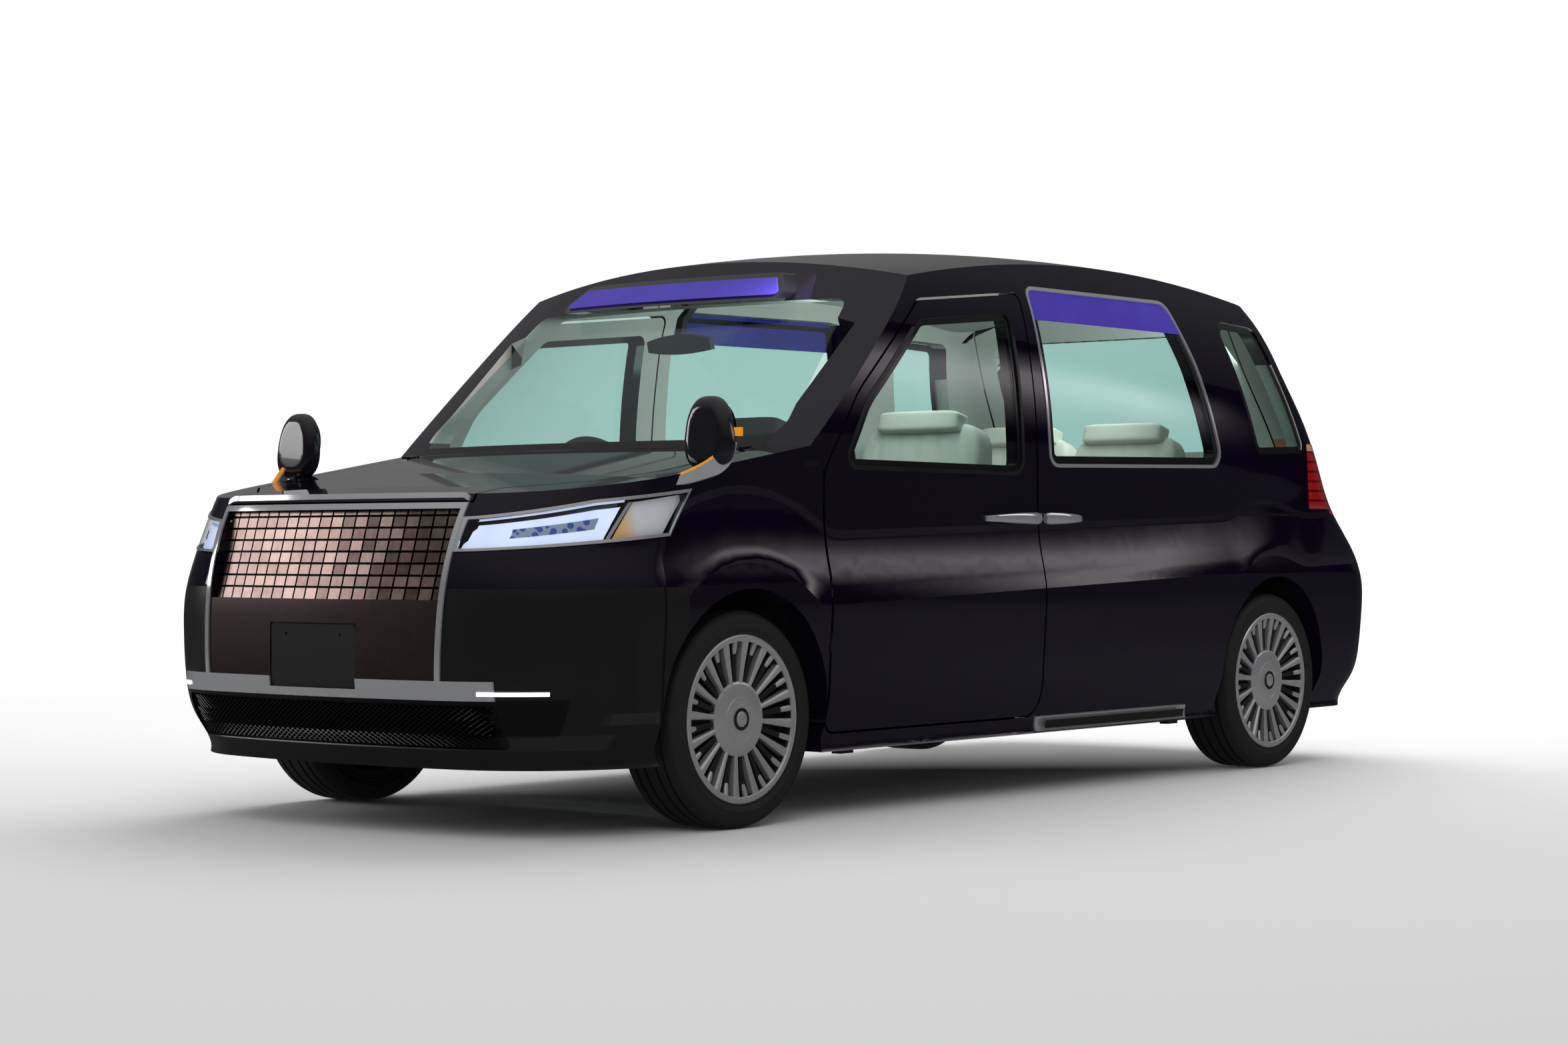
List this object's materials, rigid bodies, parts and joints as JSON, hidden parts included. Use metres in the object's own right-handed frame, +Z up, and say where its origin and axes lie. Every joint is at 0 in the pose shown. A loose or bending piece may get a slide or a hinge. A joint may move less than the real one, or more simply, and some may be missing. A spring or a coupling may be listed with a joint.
{
  "type": "taxi cab",
  "caption": "Tall people-carrier taxi with fender mirrors, sliding rear doors, lit blank signs, tiled grille, opening front doors, bonnet and tailgate, steered and rolling wheels.",
  "frame": {"origin": "on the road below the middle of the car's bounding box", "axes": "+X forward along the car, +Y to the car's left, +Z up"},
  "size_m": [4.3478, 1.755, 1.6998],
  "materials": {
    "paint": "gloss",
    "frame_metal": "satin",
    "dark_plastic": "satin",
    "bronze": "satin",
    "valance_plastic": "satin",
    "plate": "satin",
    "chrome": "polished",
    "lamp_clear": "clear",
    "lamp_red": "gloss",
    "sign": "luminous",
    "glass": "tinted",
    "mirror_shell": "gloss",
    "dash": "matte",
    "dark_fabric": "matte",
    "pale_leather": "satin",
    "rim": "machined",
    "tyre": "matte",
    "wheel_grip": "satin"
  },
  "bodies": {
    "body": {"side_frames": "paint", "bulkhead": "frame_metal", "cowl": "dark_plastic", "fenders": "paint", "headlamps": "lamp_clear", "front_bumper": "dark_plastic", "lower_grille": "dark_plastic", "grille": "bronze", "valance": "valance_plastic", "number_plate": "plate", "front_trim": "chrome", "rear_bumper": "paint", "roof_panel": "paint", "tail_lamps": "lamp_red", "rear_doors": "paint", "windscreen": "glass", "rear_door_glass": "glass", "quarter_glass": "glass", "sign_housing": "dark_plastic", "sign_lens": "sign", "side_signs": "sign", "rear_handles": "chrome", "step_trims": "chrome", "mirrors": "mirror_shell", "floor_pan": "frame_metal", "front_liners": "dark_plastic", "rear_liners": "dark_plastic", "front_subframe": "frame_metal", "rear_axle": "frame_metal", "engine": "frame_metal", "dashboard": "dash", "driver_seat": "dark_fabric", "passenger_seat": "pale_leather", "rear_bench": "pale_leather"},
    "bonnet": {"bonnet": "paint"},
    "tailgate": {"tailgate": "paint", "tailgate_glass": "glass"},
    "front_door_left": {"front_door_left": "paint", "front_glass_left": "glass", "front_handle_left": "chrome"},
    "front_door_right": {"front_door_right": "paint", "front_glass_right": "glass", "front_handle_right": "chrome"},
    "knuckle_left": {"knuckle_left": "frame_metal"},
    "knuckle_right": {"knuckle_right": "frame_metal"},
    "steering_wheel": {"steering_wheel": "wheel_grip"},
    "wheel_front_left": {"tyre_front_left": "tyre", "rim_front_left": "rim"},
    "wheel_front_right": {"tyre_front_right": "tyre", "rim_front_right": "rim"},
    "wheel_rear_left": {"tyre_rear_left": "tyre", "rim_rear_left": "rim"},
    "wheel_rear_right": {"tyre_rear_right": "tyre", "rim_rear_right": "rim"}
  },
  "joints": [
    {"name": "front_door_left_hinge", "type": "hinge", "parent": "body", "child": "front_door_left", "pos_m": [1.025, 0.8415, 0.6], "axis": [0, 0, -1], "range_deg": [0, 65]},
    {"name": "front_door_right_hinge", "type": "hinge", "parent": "body", "child": "front_door_right", "pos_m": [1.025, -0.8415, 0.6], "axis": [0, 0, 1], "range_deg": [0, 65]},
    {"name": "bonnet_hinge", "type": "hinge", "parent": "body", "child": "bonnet", "pos_m": [1.1769, 0, 1.03], "axis": [0, -1, 0], "range_deg": [0, 55]},
    {"name": "tailgate_hinge", "type": "hinge", "parent": "body", "child": "tailgate", "pos_m": [-1.54, 0, 1.62348], "axis": [0, 1, 0], "range_deg": [0, 80]},
    {"name": "steer_left", "type": "hinge", "parent": "body", "child": "knuckle_left", "pos_m": [1.365, 0.656, 0.294], "axis": [0, 0, 1], "range_deg": [-35, 35]},
    {"name": "steer_right", "type": "hinge", "parent": "body", "child": "knuckle_right", "pos_m": [1.365, -0.656, 0.294], "axis": [0, 0, 1], "range_deg": [-35, 35]},
    {"name": "steering_wheel_turn", "type": "hinge", "parent": "body", "child": "steering_wheel", "pos_m": [0.665, -0.36, 0.915], "axis": [-0.9135, 0, 0.4067], "range_deg": [-490, 490]},
    {"name": "wheel_front_left_spin", "type": "hinge", "parent": "knuckle_left", "child": "wheel_front_left", "pos_m": [1.365, 0.716, 0.294], "axis": [0, 1, 0], "continuous": true},
    {"name": "wheel_front_right_spin", "type": "hinge", "parent": "knuckle_right", "child": "wheel_front_right", "pos_m": [1.365, -0.716, 0.294], "axis": [0, 1, 0], "continuous": true},
    {"name": "wheel_rear_left_spin", "type": "hinge", "parent": "body", "child": "wheel_rear_left", "pos_m": [-1.385, 0.716, 0.294], "axis": [0, 1, 0], "continuous": true},
    {"name": "wheel_rear_right_spin", "type": "hinge", "parent": "body", "child": "wheel_rear_right", "pos_m": [-1.385, -0.716, 0.294], "axis": [0, 1, 0], "continuous": true}
  ],
  "couplings": [
    {"joint": "steer_right", "follows": "steer_left", "ratio": 1},
    {"joint": "steering_wheel_turn", "follows": "steer_left", "ratio": 14}
  ]
}
